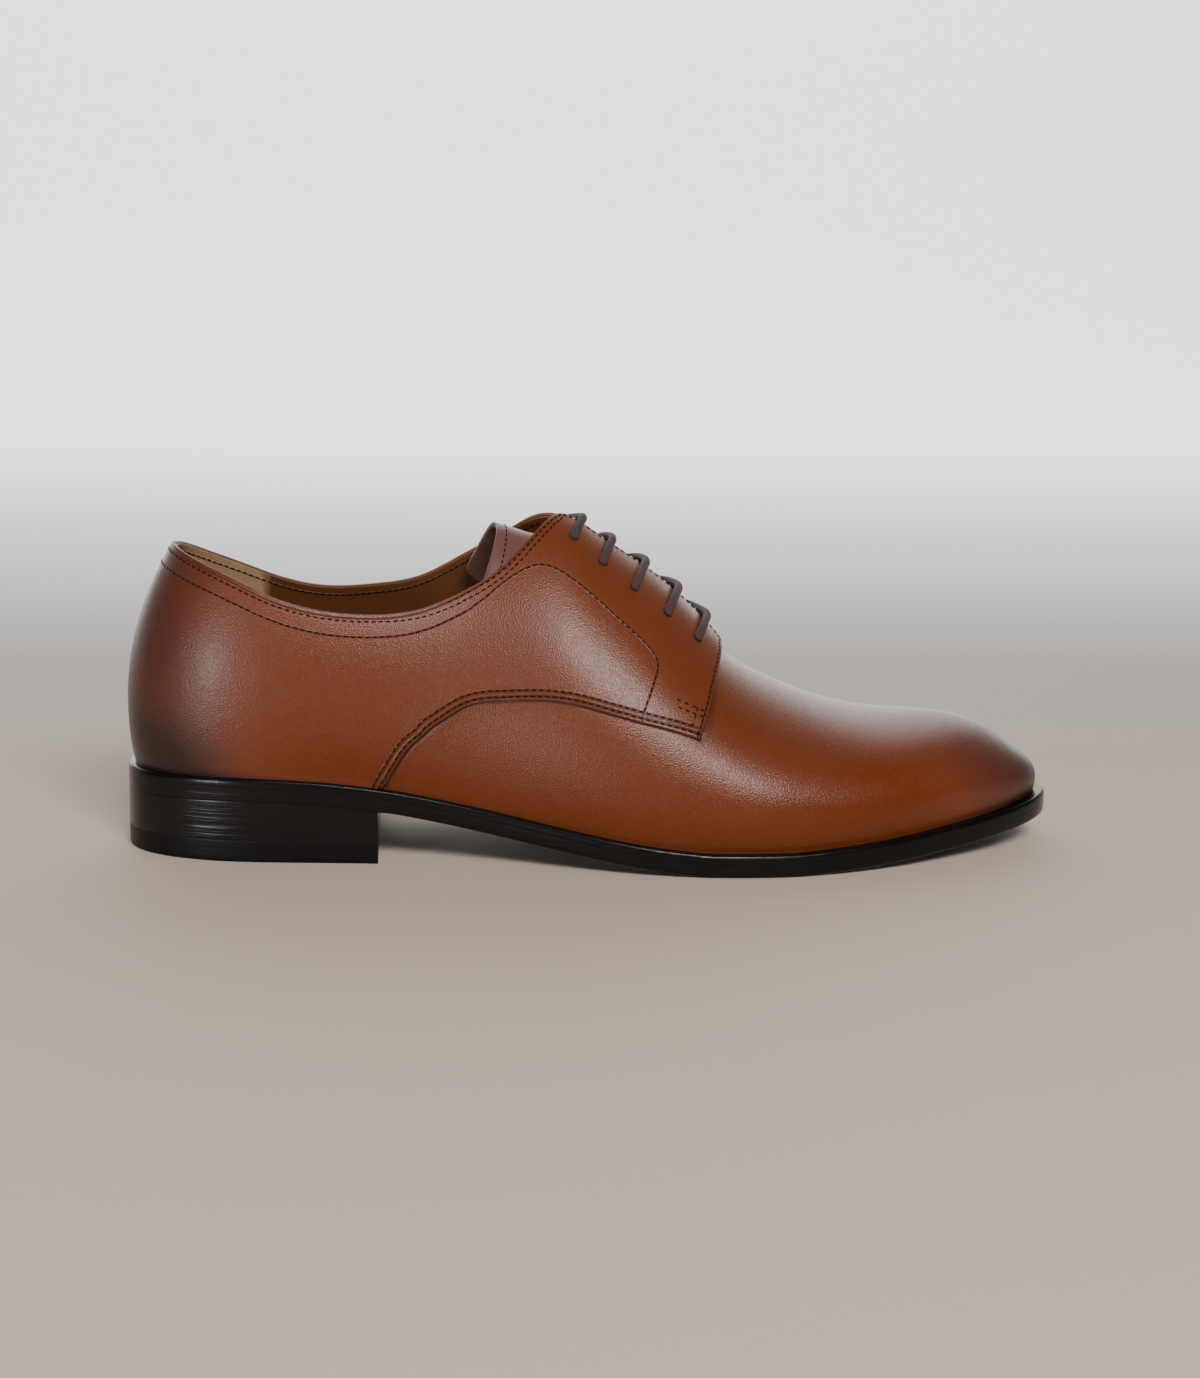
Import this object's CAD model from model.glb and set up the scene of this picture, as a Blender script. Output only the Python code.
import bmesh
import bpy
import numpy as np
from mathutils import Matrix


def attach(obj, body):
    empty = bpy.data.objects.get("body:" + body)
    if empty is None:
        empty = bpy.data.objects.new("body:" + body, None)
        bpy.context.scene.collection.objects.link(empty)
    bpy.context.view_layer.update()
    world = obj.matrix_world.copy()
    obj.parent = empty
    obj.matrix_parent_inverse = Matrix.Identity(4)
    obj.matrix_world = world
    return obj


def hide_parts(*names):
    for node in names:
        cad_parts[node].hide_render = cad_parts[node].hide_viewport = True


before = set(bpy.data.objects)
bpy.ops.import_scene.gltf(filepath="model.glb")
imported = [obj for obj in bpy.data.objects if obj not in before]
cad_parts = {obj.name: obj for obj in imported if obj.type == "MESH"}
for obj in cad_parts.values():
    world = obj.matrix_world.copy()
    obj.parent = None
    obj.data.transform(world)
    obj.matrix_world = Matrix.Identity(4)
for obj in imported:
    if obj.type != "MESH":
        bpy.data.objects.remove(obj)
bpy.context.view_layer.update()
print("solids loaded")

# Sizes are millimetres: x from the heel back to the toe, y to the inner side of the foot, z up.
# Places on the upper are given as x and an angle up the wall: -60 at the welt, 0 widest, 90 on the ridge.
shoe = {
    "length": 305.0, "ball": 107.0, "tip": 0.038,
    "heelLength": 81.0, "topLift": 7.0, "sole": 4.4, "welt": 2.9, "weltWidth": 10.5, "insole": 3.0,
    "wall": 2.0, "quarterStep": 1.3, "halfGap": 7.0, "facingLift": 2.8, "gap": 0.3,
    "heelPole": 53.0, "toePole": 282.0, "feather": -60.0,
    "breast": 82.6, "corner": 180.6, "throat": 177.6,
    "heelSoft": 12.0, "toeSoft": 10.0, "toeCreep": 0.15, "toeSlopeFrom": 200.0,
    "footDrop": 12.0, "leanFrom": 148.0, "leanTo": 222.0, "tuckedDown": 0.7,
}
# where the facing lifts off the last: x and angle at which it starts, and over how much it grows
facingLift = {"from": 150.0, "over": 32.0, "fromAngle": 38.0, "overAngle": 34.0, "innerLess": 0.4}
# how the collar line turns into the facing's edge
peakSizes = {"from": 75.0, "far": 60.0, "blend": 5.0}
# small steps for slopes on the last, as s, degrees and the steepest angle that still has a slope
stepSizes = {"s": 5e-4, "angle": 0.05, "steepest": 88.5, "top": 89.8}

# share of the length, outer and inner half width as shares of the ball width
outlineTable = (
    (0.012, 0.135, 0.135), (0.045, 0.228, 0.226), (0.110, 0.300, 0.294), (0.190, 0.322, 0.306),
    (0.270, 0.338, 0.294), (0.360, 0.374, 0.268), (0.440, 0.430, 0.272), (0.520, 0.487, 0.335),
    (0.600, 0.517, 0.415), (0.670, 0.520, 0.466), (0.740, 0.487, 0.478), (0.800, 0.435, 0.456),
    (0.860, 0.360, 0.404), (0.910, 0.286, 0.346), (0.950, 0.208, 0.276), (0.985, 0.102, 0.178),
)
# x, height of the sole's underside
treadTable = (
    (0, 19.2), (82, 16.6), (106, 12.6), (127, 8.6), (154, 3.6), (175, 0.8), (190, -0.3),
    (206, -0.3), (216, 0.2), (233, 1.3), (260, 3.8), (285, 6.8), (305, 9.4),
)
# x, how far the welt stands out beyond the upper
weltShows = (
    (0, 3.6), (30, 2.9), (60, 2.8), (84, 2.6), (100, 2.3), (150, 2.4), (200, 3.0), (250, 3.4),
    (305, 3.7),
)
# x, y, z of the last's top line
ridgeTable = (
    (40, 0, 130), (53, 0, 129), (66, 0, 121.5), (80, 0, 115.5), (100, 0.3, 111.5), (120, 0.6, 111.5),
    (131, 1, 111.5), (141, 1.2, 108.4), (150, 1.6, 102.4), (160, 2.0, 94.8), (172, 2.6, 84.2),
    (185, 3.2, 70.9), (197, 3.6, 60.3), (210, 4.0, 53.2), (226, 4.4, 46.8), (244, 4.6, 42.6),
    (262, 4.6, 41.6), (272, 4.4, 40.7), (282, 4.2, 37.7), (292, 4.0, 32.6),
)
# x, then outer and inner: overhang past the feather, height of the widest line, fullness
sideTable = (
    (0, 2.2, 2.2, 20, 20, -0.25, -0.25), (30, 2.3, 2.1, 20, 20, -0.22, -0.24),
    (60, 2.4, 1.6, 20, 22, -0.22, -0.24), (90, 2.0, 0.0, 19, 24, -0.20, -0.20),
    (120, 2.0, 0.0, 17, 24, -0.18, -0.16), (150, 2.2, 1.0, 14, 20, -0.16, -0.14),
    (175, 2.4, 2.2, 12, 15, -0.14, -0.10), (200, 2.4, 2.6, 10.5, 11, -0.08, -0.02),
    (225, 2.0, 2.4, 9.5, 9.5, -0.02, 0.04), (250, 1.6, 1.8, 8.5, 8.5, 0.02, 0.06),
    (280, 1.1, 1.2, 6.5, 6.5, -0.02, -0.02), (305, 0.5, 0.5, 3.2, 3.2, -0.26, -0.26),
)
# x, height of the top line on the outer and inner side
collarTable = (
    (0, 98, 98), (8, 98, 98), (14, 98, 97.6), (22, 95.0, 93.8), (34, 90.0, 88.2), (48, 83.9, 82.6),
    (64, 79.6, 79.7), (80, 78.5, 80.9), (95, 80.4, 84.3), (108, 85.7, 91.5), (120, 93.0, 98.5),
    (127, 99.5, 103), (133, 105.2, 107), (138, 108.6, 109), (146, 112, 112), (160, 121, 121),
)
# x, angle of the quarter's lower edge
quarterFoot = (
    (83, -54), (87.4, -26), (93.5, -2.6), (99.8, 4.8), (107.9, 10.3), (119, 13.8), (135, 17.0),
    (150, 19.2), (165, 21.2), (180, 24.0), (220, 24.0), (305, 18.0),
)
# angle, x of the facing's front edge
facingFront = ((24, 180.6), (36, 183.9), (48, 186.3), (62, 188.3), (76, 189.6))
# x, half width of the tongue, how far it hangs below the facings
tongueTable = (
    (116, 19.0, 4.6), (121, 19.5, 6.2), (127, 20.0, 8.0), (134, 20.5, 8.4), (142, 20.5, 6.0),
    (150, 20.5, 3.0), (158, 20.0, 0.9), (168, 19.5, 0.7), (175, 19.0, 1.25), (185, 18.0, 1.3),
    (195, 16.0, 1.3),
)
# x of the outer eyelet, of the crest and of the inner eyelet, angle of the eyelets
laceTable = (
    (142.2, 145.0, 140.3, 66.8), (151.3, 154.5, 149.3, 63.5), (161.1, 164.8, 158.5, 61.4),
    (171.0, 174.6, 167.4, 60.5), (180.3, 183.7, 175.8, 60.6),
)


# a smooth curve through points, as its second derivatives
def bendsOf(xs, ys):
    h, n = np.diff(xs), len(xs)
    system, right = np.eye(n), np.zeros(n)
    for i in range(1, n - 1):
        system[i, i - 1:i + 2] = h[i - 1], 2 * (h[i - 1] + h[i]), h[i]
        right[i] = 6 * ((ys[i + 1] - ys[i]) / h[i] - (ys[i] - ys[i - 1]) / h[i - 1])
    return xs, ys, np.linalg.solve(system, right)


def along(curve, x):
    xs, ys, m = curve
    h = np.diff(xs)
    x = np.clip(np.asarray(x, float), xs[0], xs[-1])
    k = np.clip(np.searchsorted(xs, x) - 1, 0, len(xs) - 2)
    t = x - xs[k]
    r = h[k] - t
    bend = (m[k] * r ** 3 + m[k + 1] * t ** 3) / (6 * h[k])
    return bend + (ys[k] / h[k] - m[k] * h[k] / 6) * r + (ys[k + 1] / h[k] - m[k + 1] * h[k] / 6) * t


curves = {}


def fromTable(table, index, x):
    key = (table, index)
    if key not in curves:
        rows = np.array(table, float)
        curves[key] = bendsOf(rows[:, 0], rows[:, index])
    return along(curves[key], x)


def soft(t):
    t = np.clip(t, 0, 1)
    return t * t * (3 - 2 * t)


def unit(v):
    return v / np.maximum(np.linalg.norm(v, axis=-1, keepdims=True), 1e-9)


def wholeOutline():
    rows = np.array(outlineTable)
    s = np.arccos(1 - 2 * rows[:, 0]) / np.pi
    at = np.concatenate([[0], s, [1], 2 - s[::-1], [2]])
    y = np.concatenate([[0], -rows[:, 1], [shoe["tip"]], rows[::-1, 2], [0]])
    at = np.concatenate([at[:-1] - 2, at, at[1:] + 2])
    return bendsOf(at, np.concatenate([y[:-1], y, y[1:]]))


halfWidths = wholeOutline()


def shareOf(x):
    return np.arccos(1 - 2 * np.clip(np.asarray(x, float) / shoe["length"], 0, 1)) / np.pi


def distanceOf(s):
    return shoe["length"] * (1 - np.cos(np.pi * np.asarray(s, float))) / 2


# s runs round the sole: 0 at the heel's back, 1 at the toe by the outer side, 2 back by the inner one
def soleOutline(s, inset=0.0):
    s = np.asarray(s, float)

    def at(q):
        return np.stack([distanceOf(q), shoe["ball"] * along(halfWidths, q)], -1)

    way = unit(at(s + 1e-4) - at(s - 1e-4))
    out = np.stack([way[..., 1], -way[..., 0]], -1)
    return at(s) - out * np.asarray(inset)[..., None], out


def treadAt(x):
    return np.maximum(fromTable(treadTable, 1, x), 0.0)


def weltTop(x):
    return treadAt(x) + shoe["sole"] + shoe["welt"]


# x on the ridge that a wall line from x on the sole runs up to
def poleOf(x):
    back = (x + shoe["heelPole"] + np.sqrt((x - shoe["heelPole"]) ** 2 + shoe["heelSoft"] ** 2)) / 2
    end = shoe["toePole"] + shoe["toeCreep"] * (x - shoe["toePole"])
    return (back + end - np.sqrt((back - end) ** 2 + shoe["toeSoft"] ** 2)) / 2


# a point on the last
def lastPoint(s, angle):
    s = np.mod(s, 2)
    edge, out = soleOutline(s)
    x = np.clip(edge[..., 0], 0, shoe["length"])
    outer = s <= 1
    overhang, rise, full = (
        np.where(outer, fromTable(sideTable, i, x), fromTable(sideTable, i + 1, x)) for i in (1, 3, 5))
    widest = edge + out * (overhang - fromTable(weltShows, 1, x))[..., None]
    foot = weltTop(x) + shoe["gap"]
    low, high = np.radians(np.minimum(angle, 0)), np.radians(np.maximum(angle, 0))
    tuck = overhang * (1 - np.cos(low)) / (1 - np.cos(np.radians(shoe["feather"])))
    topX = poleOf(x)
    centre = np.stack([topX, fromTable(ridgeTable, 1, topX)], -1)
    reach = np.cos(high) * (1 + full * np.sin(high) ** 2)
    flat = np.where((angle > 0)[..., None], centre + (widest - centre) * reach[..., None],
                    widest - out * tuck[..., None])
    level = foot + rise
    top = fromTable(ridgeTable, 2, topX)
    slope = fromTable(ridgeTable, 2, topX + 0.5) - fromTable(ridgeTable, 2, topX - 0.5)
    slope = slope * (topX > shoe["toeSlopeFrom"]) * (flat[..., 0] - topX)
    z = np.where(angle > 0, level + (top - level) * np.sin(high) + slope * np.sin(high) ** 2,
                 level + rise * np.sin(low) / -np.sin(np.radians(shoe["feather"])))
    return np.concatenate([flat, z[..., None]], -1)


# a point on the last and the direction outwards there
def last(s, angle):
    s, angle = np.broadcast_arrays(np.asarray(s, float), np.asarray(angle, float))
    below = np.minimum(angle, stepSizes["steepest"])
    roundFoot = lastPoint(s + stepSizes["s"], below) - lastPoint(s - stepSizes["s"], below)
    upWall = lastPoint(s, below + stepSizes["angle"]) - lastPoint(s, below - stepSizes["angle"])
    return lastPoint(s, angle), unit(np.cross(roundFoot, upWall))


def place(x, side):
    return np.abs(2 * np.asarray(side) - shareOf(x))


def liftOf(x, angle, side):
    grown = soft((x - facingLift["from"]) / facingLift["over"])
    grown = grown * soft((angle - facingLift["fromAngle"]) / facingLift["overAngle"])
    return shoe["facingLift"] * (1 - facingLift["innerLess"] * np.asarray(side)) * grown


def footAngle(x):
    startX, startAngle = quarterFoot[0]
    falling = np.maximum(shoe["feather"], startAngle - shoe["footDrop"] * (startX - x))
    return np.where(x < startX, falling, fromTable(quarterFoot, 1, x))


# columns near the throat lean forward until they follow the facing's front edge
def leaning(base, angle):
    marks = [shoe["leanFrom"], shoe["corner"], shoe["corner"] + shoe["gap"], shoe["leanTo"]]
    pull = np.interp(base, marks, [0, 1, 1, 0])
    return base + pull * (fromTable(facingFront, 1, angle) - facingFront[0][1])


# a point on the outside of a quarter, with the direction outwards
def onQuarter(s, angle, proud=0.0):
    s = np.mod(s, 2)
    point, out = last(s, angle)
    raised = shoe["quarterStep"] + liftOf(distanceOf(s), angle, (s > 1) * 1.0) + proud
    return point + out * raised[..., None], out


# how far a point lies inside the top line: collar and facing edge blended at the peak
def topRoom(point, inner):
    x = point[..., 0]
    collar = np.where(inner, fromTable(collarTable, 2, x), fromTable(collarTable, 1, x)) - point[..., 2]
    facing = np.abs(point[..., 1] - fromTable(ridgeTable, 1, x)) - shoe["halfGap"]
    facing = np.where(x > peakSizes["from"], facing, peakSizes["far"])
    h = np.clip(0.5 + 0.5 * (facing - collar) / peakSizes["blend"], 0, 1)
    return facing * (1 - h) + collar * h - peakSizes["blend"] * h * (1 - h)


# for each column: dense angles, lengths up the wall, and the length at the top line
def climb(base, side, low):
    samples = 220
    angle = low[:, None] + (stepSizes["top"] - low[:, None]) * np.linspace(0, 1, samples)
    x = leaning(base[:, None], angle)
    s = place(x, side[:, None])
    point = lastPoint(s, angle)
    length = np.concatenate(
        [np.zeros((len(base), 1)), np.cumsum(np.linalg.norm(np.diff(point, axis=1), axis=-1), 1)], 1)
    room = topRoom(point, side[:, None] > 0)
    total = length[:, -1].copy()
    for i in range(len(base)):
        gone = np.nonzero(room[i] <= 0)[0]
        if len(gone) and gone[0] > 0:
            k = gone[0]
            t = room[i, k - 1] / (room[i, k - 1] - room[i, k])
            total[i] = length[i, k - 1] + t * (length[i, k] - length[i, k - 1])
    return angle, length, total


# lengths up the wall for a column's rows, close together at both ends
def rowsUp(total, ends, count):
    ends = np.array(ends, float)
    shortest = 2.6 * ends[-1]
    scale = np.minimum(1, total / shortest)[:, None]
    head = ends[None, :] * scale
    tail = total[:, None] - head[:, ::-1]
    middle = head[:, -1:] + (tail[:, :1] - head[:, -1:]) * np.linspace(0, 1, count + 1)[1:-1]
    return np.concatenate([head, middle, tail], 1)


def anglesAt(rows, length, angle):
    return np.array([np.interp(rows[i], length[i], angle[i]) for i in range(len(rows))])


# from the shoe's millimetres to the frame's metres
def toRow(points):
    return (np.asarray(points, float) - [shoe["length"] / 2, shoe["centreY"], 0.0]) * 0.001


soleEdge = soleOutline(np.linspace(0, 2, 2001))[0][:, 1]
shoe["centreY"] = (soleEdge.min() + soleEdge.max()) / 2


def makeObject(name, points, faces, materials, slots=None, fields=None, uv=None, crease=None):
    mesh = bpy.data.meshes.new(name)
    mesh.from_pydata(toRow(points).tolist(), [], [list(map(int, f)) for f in faces])
    for paint in materials:
        mesh.materials.append(paint)
    if slots is not None:
        mesh.polygons.foreach_set("material_index", np.asarray(slots, np.int32))
    for key, values in (fields or {}).items():
        spots = mesh.attributes.new(key, "FLOAT", "POINT").data
        spots.foreach_set("value", np.asarray(values, np.float32).ravel())
    if uv is not None:
        layer = mesh.uv_layers.new(name="UVMap")
        corners = np.zeros(len(mesh.loops), np.int32)
        mesh.loops.foreach_get("vertex_index", corners)
        layer.data.foreach_set("uv", np.asarray(uv, np.float32)[corners].ravel())
    mesh.polygons.foreach_set("use_smooth", np.ones(len(mesh.polygons), bool))
    mesh.update()
    made = bpy.data.objects.new(name, mesh)
    bpy.context.scene.collection.objects.link(made)
    if crease:
        mesh.set_sharp_from_angle(angle=np.radians(crease))
    return made


# faces of both skins of a wall and of the rim between them; a joined wall has no rim along its last row
def wallFaces(n, m, keep=None, joined=False):
    quads = [(i * m + k, (i + 1) * m + k, (i + 1) * m + k + 1, i * m + k + 1)
             for i in range(n - 1) for k in range(m - 1) if keep is None or keep(i, k)]
    back = [tuple(v + n * m for v in q[::-1]) for q in quads]
    edges = set()
    for q in quads:
        for a, b in zip(q, q[1:] + q[:1]):
            edges.add((a, b))
    rim = [(b, a, a + n * m, b + n * m) for a, b in edges
           if (b, a) not in edges and not (joined and a % m == m - 1 and b % m == m - 1)]
    return quads, back, sorted(rim)


# a leather wall from its outer and inner skins, whose fields are those of the outer one
def makeWall(name, skin, inside, paints, slots, fields=None, keep=None, joined=False):
    n, m = skin.shape[:2]
    quads, back, rim = wallFaces(n, m, keep, joined)
    both = {key: np.concatenate([value, value]) for key, value in (fields or {}).items()}
    points = np.concatenate([skin.reshape(-1, 3), inside.reshape(-1, 3)])
    paintOf = [slots[0]] * len(quads) + [slots[1]] * len(back) + [slots[2]] * len(rim)
    return makeObject(name, points, quads + back + rim, paints, paintOf, both)


def turnOutwards(made):
    bm = bmesh.new()
    bm.from_mesh(made.data)
    bmesh.ops.recalc_face_normals(bm, faces=bm.faces[:])
    bm.to_mesh(made.data)
    bm.free()


def roundOff(made):
    finer = made.modifiers.new("round", "SUBSURF")
    finer.levels = finer.render_levels = 1
    shape = bpy.context.evaluated_depsgraph_get()
    done = made.evaluated_get(shape)
    mesh = bpy.data.meshes.new_from_object(done, preserve_all_data_layers=True, depsgraph=shape)
    made.modifiers.remove(finer)
    made.data = mesh
    return made


def settle(made, slotName, *nodes):
    if nodes:
        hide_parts(*nodes)
    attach(made, "root")
    return made


# distance from points to a path on the surface; signed ones are positive above the path
def distanceTo(points, path, above=None):
    best = np.full(len(points), np.inf)
    chunk = 4000
    for start in range(0, len(points), chunk):
        part = points[start:start + chunk]
        gap = part[:, None, :] - path[None, :, :]
        far = np.linalg.norm(gap, axis=-1)
        k = np.argmin(far, 1)
        value = far[np.arange(len(part)), k]
        if above is not None:
            value = value * np.sign(np.sum(gap[np.arange(len(part)), k] * above[k], 1) + 1e-9)
        best[start:start + chunk] = value
    return best


# a path moved sideways within the surface: positive is up the wall for a path that runs with s
def besidePath(s, angle, distance):
    point, out = last(s, angle)
    way = unit(np.gradient(point, axis=0))
    target = point + np.cross(out, way) * np.broadcast_to(distance, s.shape)[:, None]
    small, turn = 1e-4, 0.01
    for _ in range(5):
        here = lastPoint(s, angle)
        byS = (lastPoint(s + small, angle) - here) / small
        byAngle = (lastPoint(s, angle + turn) - here) / turn
        miss = target - here
        a, b, c = (byS * byS).sum(1), (byS * byAngle).sum(1), (byAngle * byAngle).sum(1)
        p, q = (byS * miss).sum(1), (byAngle * miss).sum(1)
        room = a * c - b * b
        s, angle = s + (p * c - q * b) / room, angle + (a * q - b * p) / room
    return s, angle


# each time, every corner of a path is replaced by two softer ones
def cutCorners(path, times):
    path = np.asarray(path, float)
    for _ in range(times):
        a, b = path[:-1], path[1:]
        cut = np.stack([0.75 * a + 0.25 * b, 0.25 * a + 0.75 * b], 1).reshape(-1, path.shape[1])
        path = np.concatenate([path[:1], cut, path[-1:]])
    return path


print("shape functions ready")

# node helpers


def put(tree, kind, inputs=None, **settings):
    made = tree.nodes.new(kind)
    for key, value in settings.items():
        setattr(made, key, value)
    for key, value in (inputs or {}).items():
        if isinstance(value, bpy.types.NodeSocket):
            tree.links.new(value, made.inputs[key])
        else:
            made.inputs[key].default_value = value
    return made


def calc(tree, operation, *values, clamp=False):
    made = put(tree, "ShaderNodeMath", dict(enumerate(values)), operation=operation, use_clamp=clamp)
    return made.outputs[0]


def noise(tree, where, scale, detail):
    return put(tree, "ShaderNodeTexNoise", {"Vector": where, "Scale": scale, "Detail": detail}).outputs["Fac"]


# a value's swing round a middle, times a strength
def swing(tree, value, middle, strength):
    return calc(tree, "MULTIPLY", calc(tree, "SUBTRACT", value, middle), strength)


def field(tree, name):
    return put(tree, "ShaderNodeAttribute", attribute_name=name).outputs["Fac"]


def ramp(tree, factor, stops):
    made = put(tree, "ShaderNodeValToRGB", {"Fac": factor})
    marks = made.color_ramp.elements
    while len(marks) < len(stops):
        marks.new(0.5)
    for mark, (where, colour) in zip(marks, stops):
        mark.position = where
        mark.color = (*colour, 1)
    return made.outputs["Color"]


def blendColour(tree, factor, first, second, mode="MIX"):
    made = put(tree, "ShaderNodeMix", data_type="RGBA", blend_type=mode)
    for socket, value in ((0, factor), (6, first), (7, second)):
        if isinstance(value, bpy.types.NodeSocket):
            tree.links.new(value, made.inputs[socket])
        else:
            made.inputs[socket].default_value = value if socket == 0 else (*value, 1)
    return made.outputs[2]


def newGroup(name, inputs, outputs):
    tree = bpy.data.node_groups.new(name, "ShaderNodeTree")
    for key, kind, value in inputs:
        socket = tree.interface.new_socket(name=key, in_out="INPUT", socket_type=kind)
        if value is not None:
            socket.default_value = value
    for key, kind in outputs:
        tree.interface.new_socket(name=key, in_out="OUTPUT", socket_type=kind)
    return tree, tree.nodes.new("NodeGroupInput").outputs, tree.nodes.new("NodeGroupOutput").inputs


def groupNode(tree, group, inputs):
    made = tree.nodes.new("ShaderNodeGroup")
    made.node_tree = group
    for key, value in inputs.items():
        if isinstance(value, bpy.types.NodeSocket):
            tree.links.new(value, made.inputs[key])
        else:
            made.inputs[key].default_value = value
    return made.outputs


def makeGrainGroup():
    number = "NodeSocketFloat"
    tree, given, result = newGroup(
        "leather grain",
        [("Vector", "NodeSocketVector", None), ("Cell", number, 1500.0), ("Cloud", number, 30.0)],
        [("Height", number), ("Mottle", number), ("Cloud", number)])
    where, cell = given["Vector"], given["Cell"]
    cells = put(tree, "ShaderNodeTexVoronoi", {"Vector": where, "Scale": cell, "Randomness": 1.0},
                feature="F1")
    pores = noise(tree, where, cell, 3.0)
    height = calc(tree, "MULTIPLY_ADD", cells.outputs["Distance"], 0.55, calc(tree, "MULTIPLY", pores, 0.45))
    tree.links.new(height, result["Height"])
    tree.links.new(noise(tree, where, calc(tree, "MULTIPLY", cell, 0.22), 3.0), result["Mottle"])
    tree.links.new(noise(tree, where, given["Cloud"], 4.0), result["Cloud"])
    return tree


def makePullGroup():
    number = "NodeSocketFloat"
    tree, given, result = newGroup(
        "seam pull", [("Distance", number, 50.0), ("Row", number, 1.2), ("Width", number, 0.4)],
        [("Pull", number)])
    t = calc(tree, "DIVIDE", calc(tree, "SUBTRACT", given["Distance"], given["Row"]), given["Width"])
    falling = calc(tree, "MULTIPLY", calc(tree, "MULTIPLY", t, t), -1.0)
    tree.links.new(calc(tree, "EXPONENT", falling), result["Pull"])
    return tree


grainGroup = makeGrainGroup()
pullGroup = makePullGroup()


def grainOf(tree, where, cell, cloud):
    return groupNode(tree, grainGroup, {"Vector": where, "Cell": cell, "Cloud": cloud})


# one beside a line of thread, falling to nothing over its width in millimetres
def pullOf(tree, key, row, width):
    return groupNode(tree, pullGroup, {"Distance": field(tree, key), "Row": row, "Width": width})["Pull"]


def startMaterial(name, roughness=0.5, specular=0.5, coat=0.0, coatRoughness=0.3, sheen=0.0):
    made = bpy.data.materials.new(name)
    made.use_nodes = True
    tree = made.node_tree
    shader = tree.nodes["Principled BSDF"]
    shader.inputs["Roughness"].default_value = roughness
    shader.inputs["Specular IOR Level"].default_value = specular
    shader.inputs["Coat Weight"].default_value = coat
    shader.inputs["Coat Roughness"].default_value = coatRoughness
    shader.inputs["Sheen Weight"].default_value = sheen
    where = put(tree, "ShaderNodeTexCoord").outputs["Object"]
    return made, tree, shader, where


def bumpUp(tree, height, distance, under=None):
    made = put(tree, "ShaderNodeBump", {"Height": height, "Strength": 1.0, "Distance": distance})
    if under is not None:
        tree.links.new(under, made.inputs["Normal"])
    return made.outputs["Normal"]


calfLook = {
    "tones": ((0.0, (0.114, 0.020, 0.001)), (0.30, (0.137, 0.033, 0.010)), (0.55, (0.098, 0.027, 0.015)),
              (0.80, (0.052, 0.018, 0.013)), (1.0, (0.022, 0.009, 0.006))),
    "roughness": 0.31, "specular": 0.32, "coat": 0.06, "coatRoughness": 0.22,
    "grain": 0.00012, "cell": 2000.0, "cloud": 26.0, "pull": 0.00022, "seamDark": 0.30, "ridge": 0.9,
    "cloudTone": 0.16, "mottleTone": 0.14, "grainTone": -0.32, "worn": 0.8, "mottleRough": 0.16,
}


def makeCalf(name, seams, ridge=False):
    made, tree, shader, where = startMaterial(
        name, calfLook["roughness"], calfLook["specular"], calfLook["coat"], calfLook["coatRoughness"])
    grain = grainOf(tree, where, calfLook["cell"], calfLook["cloud"])
    tone = calc(tree, "ADD", field(tree, "tone"), swing(tree, grain["Cloud"], 0.5, calfLook["cloudTone"]))
    tone = calc(tree, "ADD", tone, swing(tree, grain["Mottle"], 0.5, calfLook["mottleTone"]))
    tone = calc(tree, "ADD", tone, swing(tree, grain["Height"], 0.42, calfLook["grainTone"]), clamp=True)
    colour = ramp(tree, tone, calfLook["tones"])
    pulls = None
    for key, row, width in seams:
        one = pullOf(tree, key, row, width)
        pulls = one if pulls is None else calc(tree, "MAXIMUM", pulls, one)
    dark = calc(tree, "SUBTRACT", 1.0, calc(tree, "MULTIPLY", pulls, calfLook["seamDark"]))
    worn = calc(tree, "MULTIPLY", field(tree, "shade"), calfLook["worn"])
    worn = calc(tree, "SUBTRACT", 1.0, worn, clamp=True)
    value = calc(tree, "MULTIPLY", dark, worn)
    grey = put(tree, "ShaderNodeCombineColor", {0: value, 1: value, 2: value}).outputs[0]
    tree.links.new(blendColour(tree, 1.0, colour, grey, "MULTIPLY"), shader.inputs["Base Color"])
    spread = calfLook["mottleRough"]
    rough = calc(tree, "MULTIPLY_ADD", grain["Mottle"], spread, calfLook["roughness"] - spread / 2)
    tree.links.new(rough, shader.inputs["Roughness"])
    fine = bumpUp(tree, grain["Height"], calfLook["grain"])
    height = calc(tree, "MULTIPLY", pulls, -1.0)
    if ridge:
        raised = pullOf(tree, "footDistance", 2.3, 0.55)
        height = calc(tree, "MULTIPLY_ADD", raised, calfLook["ridge"], height)
    tree.links.new(bumpUp(tree, height, calfLook["pull"], under=fine), shader.inputs["Normal"])
    return made


def makePlainLeather(name, colour, darker, roughness, grainDepth, cell=1500.0, coat=0.0, specular=0.5,
                     spread=0.5):
    made, tree, shader, where = startMaterial(name, roughness, specular, coat, 0.25)
    grain = grainOf(tree, where, cell, 40.0)
    mix = calc(tree, "MULTIPLY_ADD", calc(tree, "SUBTRACT", grain["Cloud"], 0.5), spread * 2, 0.5)
    mix = calc(tree, "MULTIPLY_ADD", calc(tree, "SUBTRACT", grain["Mottle"], 0.5), spread, mix, clamp=True)
    tree.links.new(blendColour(tree, mix, colour, darker), shader.inputs["Base Color"])
    uneven = calc(tree, "MULTIPLY_ADD", grain["Mottle"], 0.2, roughness - 0.1)
    tree.links.new(uneven, shader.inputs["Roughness"])
    tree.links.new(bumpUp(tree, grain["Height"], grainDepth), shader.inputs["Normal"])
    return made


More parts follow.
